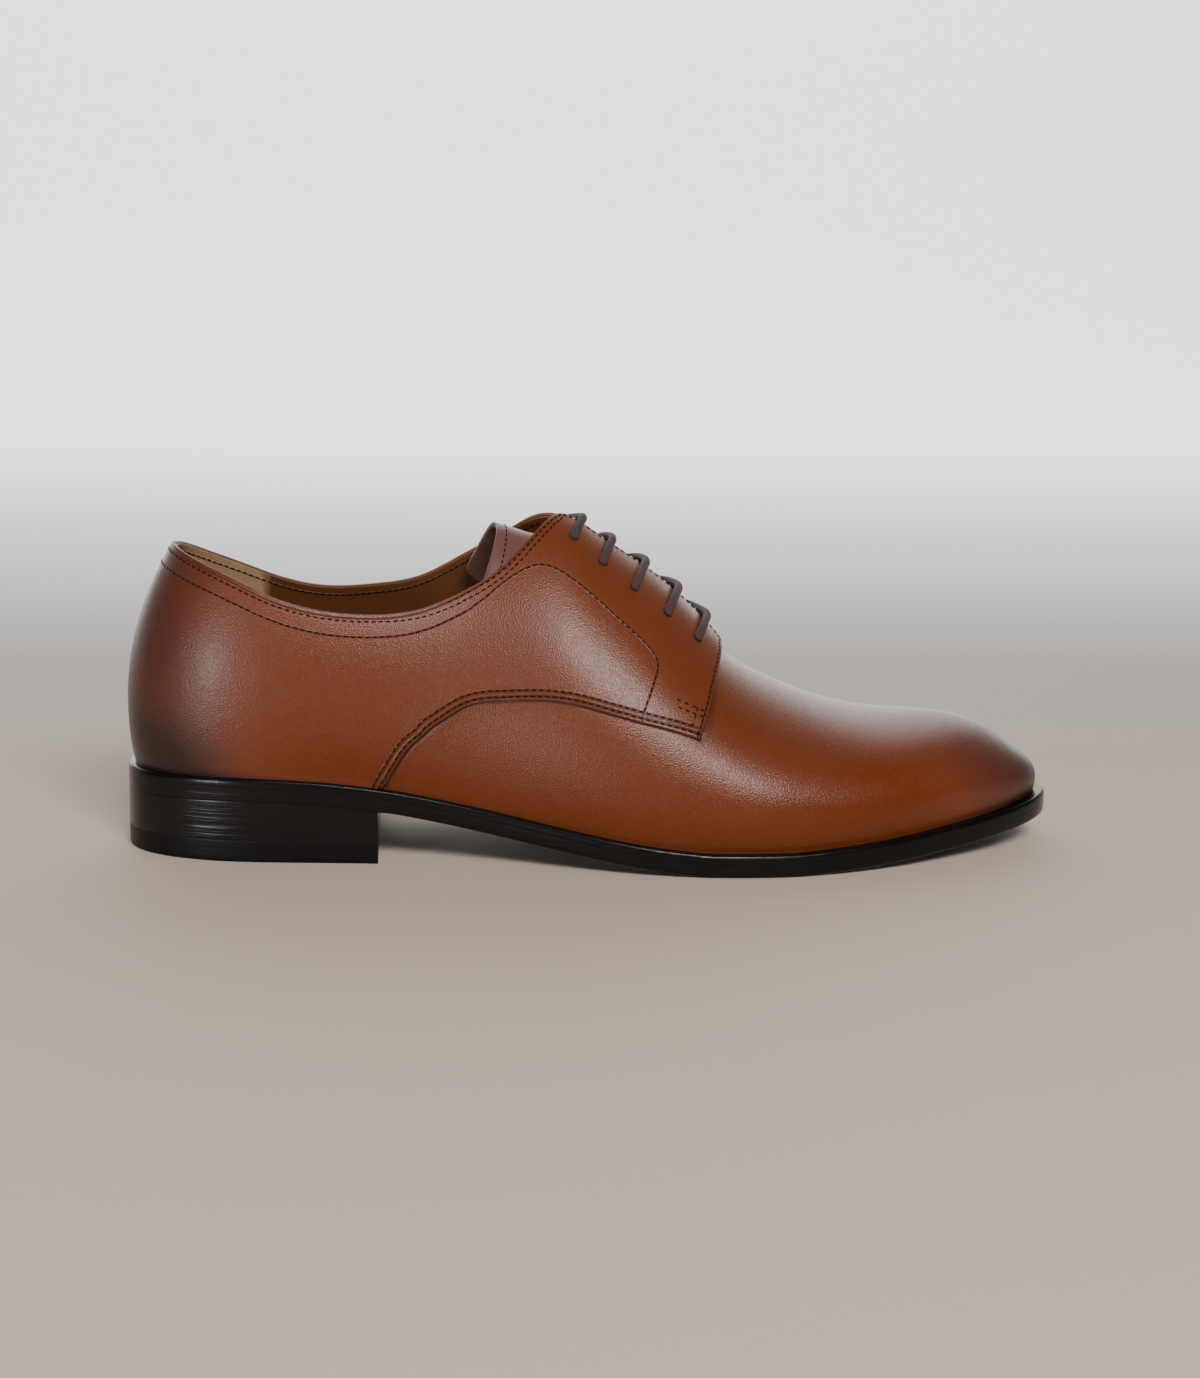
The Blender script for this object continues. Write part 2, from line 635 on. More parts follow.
def makeLining():
    made, tree, shader, where = startMaterial("lining leather", 0.55, 0.35)
    grain = grainOf(tree, where, 1800.0, 35.0)
    smooth = blendColour(tree, grain["Cloud"], (0.120, 0.044, 0.012), (0.080, 0.028, 0.008))
    nap = blendColour(tree, grain["Mottle"], (0.420, 0.270, 0.150), (0.300, 0.180, 0.095))
    suede = field(tree, "suede")
    colour = blendColour(tree, suede, smooth, nap)
    pull = calc(tree, "MAXIMUM", pullOf(tree, "padDistance", 0.0, 0.9), pullOf(tree, "rimDistance", 2.6, 0.3))
    colour = blendColour(tree, calc(tree, "MULTIPLY", pull, 0.3), colour, (0.030, 0.012, 0.006))
    tree.links.new(colour, shader.inputs["Base Color"])
    tree.links.new(calc(tree, "MULTIPLY_ADD", suede, 0.35, 0.5), shader.inputs["Roughness"])
    height = calc(tree, "MULTIPLY", grain["Height"], calc(tree, "MULTIPLY_ADD", suede, 3.0, 1.0))
    fine = bumpUp(tree, height, 0.00006)
    tree.links.new(bumpUp(tree, calc(tree, "MULTIPLY", pull, -1.0), 0.0002, under=fine), shader.inputs["Normal"])
    return made


def makeBlackEdge(name, roughness, lines, specular, coat, depth):
    made, tree, shader, where = startMaterial(name, roughness, specular, coat, 0.20)
    grain = grainOf(tree, where, 700.0, 60.0)
    tree.links.new(blendColour(tree, grain["Mottle"], (0.0050, 0.0042, 0.0042), (0.0022, 0.0018, 0.0019)),
                   shader.inputs["Base Color"])
    uneven = calc(tree, "MULTIPLY_ADD", grain["Cloud"], 0.12, roughness - 0.06)
    tree.links.new(uneven, shader.inputs["Roughness"])
    # the leather's layers run level, so the streaks are stretched along the floor
    flat = put(tree, "ShaderNodeMapping", {"Vector": where, "Scale": (18.0, 18.0, lines)}).outputs[0]
    fine = bumpUp(tree, noise(tree, flat, 1.0, 4.0), depth)
    tree.links.new(bumpUp(tree, grain["Height"], 0.00003, under=fine), shader.inputs["Normal"])
    return made


def makeCordMaterial():
    made, tree, shader, _ = startMaterial("waxed lace", 0.72, 0.25, sheen=0.08)
    spot = put(tree, "ShaderNodeUVMap", uv_map="UVMap").outputs[0]
    split = put(tree, "ShaderNodeSeparateXYZ", {"Vector": spot}).outputs
    # two families of strands cross over each other round the cord
    strands, twist = 8, 4200.0
    crossing = []
    for turns in (strands, -strands):
        run = calc(tree, "MULTIPLY", split["X"], twist)
        crossing.append(calc(tree, "SINE", calc(tree, "MULTIPLY_ADD", split["Y"], turns * 6.2832, run)))
    braid = calc(tree, "MAXIMUM", *crossing)
    fuzz = noise(tree, spot, 1500.0, 2.0)
    mix = calc(tree, "MULTIPLY_ADD", braid, 0.35, calc(tree, "MULTIPLY", fuzz, 0.6), clamp=True)
    cordColour = blendColour(tree, mix, (0.030, 0.016, 0.017), (0.088, 0.050, 0.053))
    tree.links.new(cordColour, shader.inputs["Base Color"])
    tree.links.new(bumpUp(tree, braid, 0.00012), shader.inputs["Normal"])
    return made


# field, distance of the thread and width of the groove, in millimetres
quarterSeams = (("footDistance", 1.3, 0.28), ("footDistance", 3.3, 0.28), ("frontDistance", 1.4, 0.28),
                ("rimDistance", 1.3, 0.25), ("bandDistance", 0.0, 0.25))
vampSeams = (("footDistance", 0.0, 0.9),)
calf = makeCalf("burnished calf", quarterSeams, ridge=True)
vampCalf = makeCalf("vamp calf", vampSeams)
tongueCalf = makePlainLeather("tongue calf", (0.165, 0.066, 0.056), (0.120, 0.048, 0.041), 0.38, 0.00005,
                              coat=0.4, spread=0.6)
roughBack = makePlainLeather("rough leather back", (0.105, 0.044, 0.021), (0.045, 0.018, 0.009), 0.85, 0.00030,
                             cell=900.0, spread=0.9)
cutEdge = makePlainLeather("painted leather edge", (0.200, 0.070, 0.040), (0.120, 0.040, 0.022), 0.5, 0.00006)
lining = makeLining()
sockLeather = makePlainLeather("sock leather", (0.300, 0.165, 0.075), (0.210, 0.110, 0.050), 0.55, 0.00005)
soleBlack = makeBlackEdge("black sole edge", 0.24, 900.0, 0.22, 0.04, 0.00014)
heelBlack = makeBlackEdge("black heel leather", 0.24, 1400.0, 0.26, 0.03, 0.00015)
liftBlack = makeBlackEdge("black rubber", 0.40, 500.0, 0.16, 0.0, 0.00014)
threadPaint = makePlainLeather("dark thread", (0.015, 0.006, 0.005), (0.007, 0.003, 0.002), 0.8, 0.00003,
                               specular=0.1)
holeDark = makePlainLeather("punched hole", (0.012, 0.007, 0.006), (0.006, 0.004, 0.004), 0.9, 0.00003)
lacePaint = makeCordMaterial()
print("materials ready")

# quarters: one band of calf from facing to facing, round the heel

quarterSizes = {
    "columns": 104, "rows": 30, "front": (0.0, 0.4, 1.1, 2.2, 3.6, 5.2, 7.2, 9.4), "edges": (0.0, 0.4, 1.1),
    "facingThickness": 1.5, "cornerRound": 8.0,
}
# burnish by hand, 0 the lightest: shares of the tone ramp
burnish = {
    "middle": 0.33, "lowSides": -0.24, "counter": 0.43, "counterLow": 0.12, "heelFoot": 0.36, "toe": 0.34,
    "toeTop": 0.14, "tip": 0.24, "feather": 0.20,
}


# tone of the calf: light low sides, dark counter, toe and feather edge
def toneAt(point):
    x = point[..., 0]
    foot = point[..., 2] - weltTop(x)
    low = 1 - soft((foot - 6) / 26)
    sides = soft((x - 25) / 45) * (1 - soft((x - 250) / 45))
    counter = 1 - soft((x - 2) / 44)
    heelFoot = (1 - soft((x - 14) / 36)) * (1 - soft((foot - 1) / 26))
    toe = soft((x - 242) / 60)
    tone = burnish["middle"] + burnish["lowSides"] * low * sides
    tone = tone + counter * (burnish["counter"] + burnish["counterLow"] * low) + burnish["heelFoot"] * heelFoot
    tone = tone + toe * (burnish["toe"] + burnish["toeTop"] * soft(foot / 18))
    tone = tone + burnish["tip"] * soft((x - 284) / 20)
    return tone + burnish["feather"] * (1 - soft(foot / 3.5))


def sideColumns(first, fronts, count):
    near = first - np.array(fronts)
    rest = distanceOf(np.linspace(shareOf(near[-1]), 0, count + 1))[1:]
    return np.concatenate([near, rest])


# columns from the outer facing round the heel to the inner one, with the side that each is on
def strip(outerBase):
    side = np.concatenate([np.zeros(len(outerBase)), np.ones(len(outerBase) - 1)])
    return np.concatenate([outerBase, outerBase[::-1][1:]]), side


# the facing's upper front corner is rounded
def cornerDrop(base, radius):
    bite = np.clip(radius - (shoe["corner"] - base), 0, None)
    return radius - np.sqrt(radius ** 2 - bite ** 2)


stripBase, stripSide = strip(sideColumns(shoe["corner"], quarterSizes["front"], quarterSizes["columns"]))
stripAngle, stripLength, stripTop = climb(stripBase, stripSide, footAngle(stripBase))
quarterTop = stripTop - cornerDrop(stripBase, quarterSizes["cornerRound"])
rows = rowsUp(quarterTop, quarterSizes["edges"], quarterSizes["rows"])
quarterAngle = anglesAt(rows, stripLength, stripAngle)
quarterS = place(leaning(stripBase[:, None], quarterAngle), stripSide[:, None])
quarterSkin, quarterOut = onQuarter(quarterS, quarterAngle)


# angles a set length below the top line
def belowRim(below):
    return anglesAt((quarterTop - below)[:, None], stripLength, stripAngle)[:, 0]


# paths along the quarter's edges, as s and angle, running with s where they can
def footPath(side):
    behind, bend = shoe["breast"], 98.0
    bending = np.linspace(behind + 0.2, bend, 60)
    base = np.concatenate([[behind + 0.02], bending, np.linspace(bend + 0.5, shoe["corner"], 160)])
    return place(base, side), footAngle(base)


def frontPath(side):
    angle = np.linspace(24, 77, 110)
    return place(fromTable(facingFront, 1, angle), side), angle


rimAngle = belowRim(0.0)
rimS = place(leaning(stripBase, rimAngle), stripSide)
flatSkin = quarterSkin.reshape(-1, 3)
sideOf = np.repeat(stripSide, rows.shape[1])
fields = {"tone": toneAt(quarterSkin).ravel()}
fields["rimDistance"] = (quarterTop[:, None] - rows).ravel()
foot, front = np.full(len(flatSkin), np.inf), np.full(len(flatSkin), np.inf)
for side in (0, 1):
    pick = sideOf == side
    foot[pick] = distanceTo(flatSkin[pick], onQuarter(*footPath(side))[0])
    front[pick] = distanceTo(flatSkin[pick], onQuarter(*frontPath(side))[0])
fields["footDistance"] = foot
fields["frontDistance"] = front

# the second row runs below the collar, turns under the facing's peak and drops to the quarter's foot;
# its turn is x and angle
bandSizes = {"below": 7.2, "until": 110.0}
bandTurn = ((122, 45.8), (128, 49.6), (132.8, 51.4), (137.6, 50.9), (147.4, 48.4), (155.9, 45.9),
            (162.5, 44.0), (167.0, 42.0), (167.9, 38.4), (165.6, 31.5), (163.3, 24.6))
bandRows = belowRim(bandSizes["below"])
band = np.full(len(flatSkin), 50.0)
bandPaths = []
for side in (0, 1):
    keep = (stripBase < bandSizes["until"]) & ((stripSide == side) | (stripBase == 0))
    start = np.column_stack([stripBase[keep], bandRows[keep]])
    start = start[np.argsort(start[:, 0])]
    path = np.concatenate([start, cutCorners([start[-1]] + list(bandTurn), 3)[1:]])
    bandPaths.append(path)
    points, out = onQuarter(place(path[:, 0], side), path[:, 1])
    way = unit(np.gradient(points, axis=0))
    above = np.cross(out, way) * (1 - 2 * side)
    pick = sideOf == side
    band[pick] = distanceTo(flatSkin[pick], points, above)
fields["bandDistance"] = band


# how much darker the dye lies beside an edge
def edgeShade(distance, strength, width):
    return strength * np.exp(-(distance / width) ** 2)


shade = edgeShade(foot, 0.42, 1.0) + 0.16 * (1 - soft((foot - 3.0) / 2.5)) + edgeShade(front, 0.30, 0.9)
shade += edgeShade(fields["rimDistance"], 0.22, 0.8)
fields["shade"] = shade * (flatSkin[:, 0] > 0)


def quarterProud(s, angle, side):
    return shoe["quarterStep"] + liftOf(distanceOf(np.mod(s, 2)), angle, side[:, None])


backProud = quarterProud(quarterS, quarterAngle, stripSide) - quarterSizes["facingThickness"]
quarterBack = last(quarterS, quarterAngle)[0] + quarterOut * backProud[..., None]
for skin in (quarterSkin, quarterBack):
    skin[stripBase < shoe["breast"], 0, 2] -= shoe["tuckedDown"]
quarters = makeWall("quarters", quarterSkin, quarterBack, [calf, roughBack, cutEdge], (0, 1, 2), fields)
settle(roundOff(quarters), "calf", "upper")
print("quarters", len(quarters.data.polygons))

# vamp: under the quarters, over the toe, open at the throat

vampSizes = {"columnsBack": 60, "columnsFront": 72, "rowsLow": 24, "rowsHigh": 20, "wall": 1.3, "from": 80.0,
             "tuckUnder": 9.0, "tuckLowest": -30.0}
throatColumn = np.linspace(shareOf(vampSizes["from"]), shareOf(shoe["throat"]), vampSizes["columnsBack"])
half = np.concatenate([throatColumn, np.linspace(throatColumn[-1], 1, vampSizes["columnsFront"])[1:]])
vampS = np.concatenate([half, (2 - half)[::-1][1:]])
vampBase = distanceOf(vampS)
vampInner = vampS > 1
tucked = np.maximum(footAngle(vampBase) + vampSizes["tuckUnder"], vampSizes["tuckLowest"])
t = np.concatenate([[0, 0.006], np.linspace(0.025, 1, vampSizes["rowsLow"])])
vampAngle = shoe["feather"] + (tucked[:, None] - shoe["feather"]) * t
t = np.linspace(0, 1, vampSizes["rowsHigh"] + 1)[1:]
vampAngle = np.concatenate([vampAngle, tucked[:, None] + (90 - tucked[:, None]) * t], 1)
tuckRow = vampAngle.shape[1] - vampSizes["rowsHigh"] - 1
vampPlace = place(leaning(vampBase[:, None], vampAngle), vampInner[:, None] * 1)
vampPlace = np.where(vampS[:, None] == 1, 1.0, vampPlace)
vampSkin, vampOut = last(vampPlace, vampAngle)
vampOut[:, -1] = unit(vampOut[:, -1] * [1, 0, 1])
vampSkin[len(half):, -1] = vampSkin[:len(half) - 1, -1][::-1]
vampOut[len(half):, -1] = vampOut[:len(half) - 1, -1][::-1]
edgeOut = soleOutline(vampPlace[:, 0])[1]
vampOut[:, 0] = np.column_stack([edgeOut, np.zeros(len(edgeOut))])
vampBack = vampSkin - vampOut * vampSizes["wall"]
for skin in (vampSkin, vampBack):
    skin[:, 0, 2] -= shoe["tuckedDown"]
flatVamp = vampSkin.reshape(-1, 3)
foot = np.full(len(flatVamp), np.inf)
innerOf = np.repeat(vampInner, vampAngle.shape[1])
for side in (0, 1):
    pick = innerOf == side
    edge = np.concatenate([last(*footPath(side))[0], last(*frontPath(side))[0]])
    foot[pick] = distanceTo(flatVamp[pick], edge)
fields = {"tone": toneAt(vampSkin).ravel(), "footDistance": foot, "shade": edgeShade(foot, 0.45, 1.6)}
covers = np.minimum(vampBase[:-1], vampBase[1:]) >= shoe["throat"] - 0.01
vamp = makeWall("vamp", vampSkin, vampBack, [vampCalf, roughBack, cutEdge], (0, 1, 2), fields,
                lambda i, k: k < tuckRow or covers[i], joined=True)


# the two sides meet on the ridge and at the toe's tip, so their doubles are merged
def mergeDoubles(made, distance=0.00002):
    bm = bmesh.new()
    bm.from_mesh(made.data)
    bmesh.ops.delete(bm, geom=[v for v in bm.verts if not v.link_faces], context="VERTS")
    bmesh.ops.remove_doubles(bm, verts=bm.verts[:], dist=distance)
    bmesh.ops.dissolve_degenerate(bm, edges=bm.edges[:], dist=distance / 4)
    inside = [f for f in bm.faces if f.material_index == 2 and all(len(e.link_faces) > 2 for e in f.edges)]
    if inside:
        bmesh.ops.delete(bm, geom=inside, context="FACES_ONLY")
    bm.to_mesh(made.data)
    bm.free()


mergeDoubles(vamp)
settle(roundOff(vamp), "calf", "upper")
print("vamp", len(vamp.data.polygons))

# lining: inside the quarters, down to the sock

liningSizes = {"columns": 70, "rows": 26, "thickness": 0.7, "padEnd": 43.0, "padBlend": 1.6, "behind": 1.2,
               "edges": (0.0, 0.4, 1.2), "cornerRound": quarterSizes["cornerRound"] + 0.5, "below": 0.25}
liningBase, liningSide = strip(
    sideColumns(shoe["corner"] - liningSizes["behind"], (0.0, 0.5, 1.4), liningSizes["columns"]))
fullLow = np.full(len(liningBase), shoe["feather"])
liningAngle, liningLength, liningTop = climb(liningBase, liningSide, fullLow)
liningTop -= cornerDrop(liningBase, liningSizes["cornerRound"]) + liningSizes["below"]
rows = rowsUp(liningTop, liningSizes["edges"], liningSizes["rows"])
angle = anglesAt(rows, liningLength, liningAngle)
s = place(leaning(liningBase[:, None], angle), liningSide[:, None])
point, out = last(s, angle)
footRow = np.array([np.interp(footAngle(x), liningAngle[i], liningLength[i]) for i, x in enumerate(liningBase)])
# the lining lies on the vamp's back low down, and follows the quarter where it is alone
proud = quarterProud(s, angle, liningSide)
alone = soft((rows - footRow[:, None] - 6) / 22) * soft((shoe["corner"] - 3 - liningBase) / 12)[:, None]
atFacing = soft((liningBase[:, None] - 165) / 6)
deep = proud * alone - shoe["wall"]
deep = np.maximum(deep, proud - shoe["wall"] - 0.4 - 40 * (1 - atFacing))
skin = point + out * (deep + liningSizes["thickness"])[..., None]
inside = point + out * deep[..., None]
pastPad = inside[..., 0].ravel() - liningSizes["padEnd"]
fields = {"suede": 1 - soft(pastPad / liningSizes["padBlend"] + 0.5), "padDistance": pastPad,
          "rimDistance": (liningTop[:, None] - rows).ravel()}
liningPiece = makeWall("lining", skin, inside, [lining, cutEdge], (0, 0, 1), fields)
settle(roundOff(liningPiece), "lining_leather", "upper")
print("lining", len(liningPiece.data.polygons))

# tongue: calf above, rough leather below, its top corners rounded

tongueSizes = {"along": 44, "across": 30, "thickness": 2.0, "sweep": 5.0, "innerSweep": 3.5, "clear": 0.9,
               "back": 2.0, "corner": 7.0, "cornerCut": 0.10, "outerWider": 9.0, "widerUntil": 142.0}
across = np.linspace(-1, 1, tongueSizes["across"] + 1)
across = np.concatenate([[-1, -0.985], across[1:-1], [0.985, 1]])
t = np.concatenate([[0, 0.006], np.linspace(0.02, 1, tongueSizes["along"])])
sweep = tongueSizes["sweep"] * np.abs(across) ** 2.2 + tongueSizes["innerSweep"] * np.maximum(across, 0) ** 1.5
begin = tongueTable[0][0] + tongueSizes["back"] - sweep
x = begin[None, :] + (tongueTable[-1][0] - begin[None, :]) * t[:, None]
wider = tongueSizes["outerWider"] * soft((tongueSizes["widerUntil"] - x) / 14)
half = fromTable(tongueTable, 1, x) + np.where(across[None, :] < 0, wider, 0)
corner = np.clip(1 - (x - begin[None, :]) / tongueSizes["corner"], 0, 1)
half = half * (1 - tongueSizes["cornerCut"] * (1 - np.sqrt(1 - corner ** 2)))
ridgeY = fromTable(ridgeTable, 1, x)
angles = np.linspace(20, 90, 241)
tongueSkin = np.zeros(x.shape + (3,))
tongueBack = np.zeros(x.shape + (3,))
# each point lies where the wall, as seen from above, is as far from the ridge as the tongue is wide
for j, u in enumerate(across):
    s = place(x[:, j], 1.0 if u > 0 else 0.0)
    arc = lastPoint(s[:, None] + 0 * angles, angles[None, :] + 0 * s[:, None])
    away = np.abs(arc[..., 1] - ridgeY[:, j][:, None]) - np.abs(u) * half[:, j][:, None]
    for i in range(len(t)):
        k = np.nonzero(away[i] <= 0)[0]
        k = k[0] if len(k) else len(angles) - 1
        w = away[i, k - 1] / (away[i, k - 1] - away[i, k]) if k > 0 else 0.0
        found = angles[k - 1] + min(max(w, 0), 1) * (angles[k] - angles[k - 1])
        point, out = last(s[i], found)
        deep = tongueSizes["clear"] + fromTable(tongueTable, 2, max(x[i, j], tongueTable[0][0]))
        tongueSkin[i, j] = point - out * deep
        tongueBack[i, j] = point - out * (deep + tongueSizes["thickness"])


# a skin deeper than the crest's own radius would cross itself, so each row keeps only its lowest part
def unfold(skin):
    for i in range(len(skin)):
        row = skin[i].copy()
        y = row[0, 1] + (row[-1, 1] - row[0, 1]) * (across + 1) / 2
        low, high = np.minimum(row[:-1, 1], row[1:, 1]), np.maximum(row[:-1, 1], row[1:, 1])
        span = np.where(np.abs(row[1:, 1] - row[:-1, 1]) < 1e-9, 1e-9, row[1:, 1] - row[:-1, 1])
        for j in range(1, len(y) - 1):
            at = np.nonzero((low <= y[j]) & (y[j] <= high))[0]
            part = (y[j] - row[at, 1]) / span[at]
            skin[i, j, 2] = np.min(row[at, 2] + part * (row[at + 1, 2] - row[at, 2]))
            skin[i, j, 1] = y[j]
        for _ in range(6):
            skin[i, 1:-1, 2] = (skin[i, :-2, 2] + 2 * skin[i, 1:-1, 2] + skin[i, 2:, 2]) / 4
            skin[i, 1:-1, 0] = (skin[i, :-2, 0] + 2 * skin[i, 1:-1, 0] + skin[i, 2:, 0]) / 4


unfold(tongueSkin)
unfold(tongueBack)
tongueX = x
tongue = makeWall("tongue_leather", tongueSkin, tongueBack, [tongueCalf, roughBack, cutEdge], (0, 1, 2))
settle(roundOff(tongue), "tongue_leather", "tongue")
print("tongue", len(tongue.data.polygons))

# sole, welt, heel and sock


# a plate with the sole's outline along s, mirrored to the inner side, closed above and below;
# its profile is height as a share and inset in millimetres
def plate(name, s, inset, bottom, top, profile, paint, crease=40, ease=None):
    outermost = 1.5
    both = np.concatenate([s, (2 - s)[::-1]])
    keep = np.ones(len(both), bool)
    keep[-1] = False
    if s[-1] == 1:
        keep[len(s)] = False
    both = both[keep]
    n = len(both)
    points, faces = [], []
    for up, pull in profile:
        pulled = pull * ease(distanceOf(both)) if ease is not None and pull < outermost else pull
        flat = soleOutline(both, inset(distanceOf(both)) + pulled)[0]
        low, high = bottom(flat[:, 0]), top(flat[:, 0])
        points.append(np.column_stack([flat, low + (high - low) * up]))
    for k in range(len(profile) - 1):
        for i in range(n):
            j = (i + 1) % n
            faces.append((k * n + i, k * n + j, (k + 1) * n + j, (k + 1) * n + i))
    for base, flip in ((0, True), ((len(profile) - 1) * n, False)):
        left = [base + i for i in range(len(s))]
        right = [base + (n - i) % n for i in range(len(s))]
        if s[-1] == 1:
            right[-1] = left[-1]
        for i in range(len(s) - 1):
            face = list(dict.fromkeys((left[i], left[i + 1], right[i + 1], right[i])))
            faces.append(tuple(face[::-1] if flip else face))
    made = makeObject(name, np.concatenate(points), faces, [paint])
    turnOutwards(made)
    made.data.set_sharp_from_angle(angle=np.radians(crease))
    return made


def flush(x):
    return 0 * x


def soleTop(x):
    return treadAt(x) + shoe["sole"]


def liftTop(x):
    return 0 * x + shoe["topLift"]


# the sole's edge is square over the heel block and rounded from there on
def roundedFromHeel(x):
    return 0.08 + 0.92 * soft((x - shoe["heelLength"] + 1) / 5)


soleSizes = {"cuts": 190, "channel": 6.0, "channelWidth": 0.6}
allRound = np.linspace(0, 1, soleSizes["cuts"] + 1)
channel, channelWidth = soleSizes["channel"], soleSizes["channelWidth"]
soleProfile = ((0, channel + channelWidth), (0.07, channel + channelWidth / 2), (0, channel), (0, 1.1),
               (0.03, 0.55), (0.10, 0.2), (0.20, 0.05), (0.45, 0.0), (0.85, 0.0), (0.97, 0.01), (1.0, 0.04))
outsole = plate("outsole_leather", allRound, flush, treadAt, soleTop, soleProfile, soleBlack, 55,
                roundedFromHeel)
settle(outsole, "sole_leather", "outsole")

n = 2 * soleSizes["cuts"]
ringS = np.concatenate([allRound, (2 - allRound)[::-1][1:-1]])
# height as a share and inset in millimetres, round the welt's section
weltProfile = ((0, 0.04), (0.04, 0.0), (0.30, 0.0), (0.62, 0.05), (0.82, 0.20), (0.94, 0.45), (1.0, 0.85),
               (1.0, 1.6), (1.0, 2.2), (1.0, shoe["weltWidth"]), (0, shoe["weltWidth"]))
points, faces = [], []
for up, inset in weltProfile:
    flat = soleOutline(ringS, np.full(len(ringS), inset))[0]
    points.append(np.column_stack([flat, soleTop(flat[:, 0]) + shoe["welt"] * up]))
for k in range(len(weltProfile)):
    for i in range(len(ringS)):
        j, q = (i + 1) % len(ringS), (k + 1) % len(weltProfile)
        faces.append((k * n + i, k * n + j, q * n + j, q * n + i))
welt = makeObject("welt_strip", np.concatenate(points), faces, [soleBlack], crease=50)
settle(welt, "welt_leather", "welt")

heelSizes = {"cuts": 70}
heelRound = np.linspace(0, shareOf(shoe["heelLength"]), heelSizes["cuts"] + 1)
stackProfile = ((0, 0.05), (0.02, 0.0), (0.06, 0.0), (0.94, 0.0), (0.98, 0.0), (1.0, 0.03))
stack = plate("heel_block", heelRound, flush, liftTop, treadAt, stackProfile, heelBlack, 50)
settle(stack, "heel_leather", "heel_stack")
liftProfile = ((0, 0.7), (0.04, 0.25), (0.12, 0.03), (0.24, 0.0), (0.92, 0.0), (0.97, 0.0), (1.0, 0.05))
topPiece = plate("heel_top_piece", heelRound, flush, flush, liftTop, liftProfile, liftBlack, 50)
settle(topPiece, "lift_rubber", "top_lift")


def sockInset(x):
    return fromTable(weltShows, 1, x) + shoe["wall"] + shoe["gap"]


def sockTop(x):
    return weltTop(x) + shoe["gap"] + shoe["insole"]


sockProfile = ((0, 0.0), (0.6, 0.0), (0.85, 0.25), (1.0, 0.9), (1.0, 2.5))
sock = plate("sock", allRound[::2], sockInset, weltTop, sockTop, sockProfile, sockLeather)
settle(sock, "lining_leather", "insole")
print("sole, welt, heel and sock")

# laces: five straight bars through punched holes

laceSizes = {"diameter": 2.85, "around": 14, "along": 64, "hole": 1.75, "holeSides": 24, "slant": 0.05}
# share of the way from eyelet to crest, and height over the leather beyond the cord's own radius
laceEnds = ((0.0, -4.025), (0.0, -2.425), (0.05, -1.075), (0.22, -0.1), (0.5, 0.05))
# share of the eyelet's radius and height of its rings over the leather
holeRings = ((1.0, 0.02), (0.93, 0.10), (0.80, 0.06), (0.66, -0.02))


# a curve through all the points, in even steps
def smoothLine(points, count):
    points = np.asarray(points, float)
    ext = np.concatenate([2 * points[:1] - points[1:2], points, 2 * points[-1:] - points[-2:-1]])
    spans = len(points) - 1
    u = np.linspace(0, spans, 40 * spans + 1)
    k = np.minimum(u.astype(int), spans - 1)
    f = (u - k)[:, None]
    a, b, c, d = ext[k], ext[k + 1], ext[k + 2], ext[k + 3]
    line = 0.5 * (2 * b + (c - a) * f + (2 * a - 5 * b + 4 * c - d) * f ** 2 + (3 * b - a - 3 * c + d) * f ** 3)
    way = np.concatenate([[0], np.cumsum(np.linalg.norm(np.diff(line, axis=0), axis=1))])
    places = np.linspace(0, way[-1], count)
    return np.column_stack([np.interp(places, way, line[:, i]) for i in range(3)]), places


# angle of the facing's upper edge at x
def facingEdge(x, side):
    keep = stripSide == side
    order = np.argsort(rimS[keep] if side == 0 else 2 - rimS[keep])
    where = distanceOf(np.mod(rimS[keep], 2))[order]
    front = where > 130
    return float(np.interp(x, where[front], rimAngle[keep][order][front]))


# up from the outer eyelet, over both facing edges and down to the inner eyelet
def laceLine(row):
    outerX, crestX, innerX, angle = row
    backX = crestX + laceSizes["slant"] * (innerX - crestX)
    line = []
    for side, eyeletX, edgeX, crestHigh in ((0, outerX, crestX, 0.62), (1, innerX, backX, 0.45)):
        top = facingEdge(edgeX, side)
        run = []
        for t, high in laceEnds + ((0.94, crestHigh),):
            spot = place(eyeletX + (edgeX - eyeletX) * t, side)
            up = np.float64(angle + (top - angle) * t)
            run.append(onQuarter(spot, up, laceSizes["diameter"] / 2 + high)[0])
        line += run if side == 0 else run[::-1]
    return line


def tube(name, line, places, radius, around, paint):
    way = unit(np.gradient(line, axis=0))
    rings, uv = [], []
    turn = np.arange(around + 1) * 2 * np.pi / around
    guide = np.array([1.0, 0.0, 0.0])
    for k in range(len(line)):
        guide = unit(guide - way[k] * (guide @ way[k]))
        up = np.cross(way[k], guide)
        rings.append(line[k] + radius * (np.cos(turn)[:, None] * guide + np.sin(turn)[:, None] * up))
        uv += [(places[k] * 0.001, j / around) for j in range(around + 1)]
    m = around + 1
    points = np.concatenate(rings)
    faces = [(k * m + j, k * m + j + 1, (k + 1) * m + j + 1, (k + 1) * m + j)
             for k in range(len(line) - 1) for j in range(around)]
    faces += [tuple(range(around))[::-1], tuple((len(line) - 1) * m + j for j in range(around))]
    made = makeObject(name, points, faces, [paint], uv=np.array(uv))
    mergeDoubles(made, 0.000002)
    turnOutwards(made)
    return made


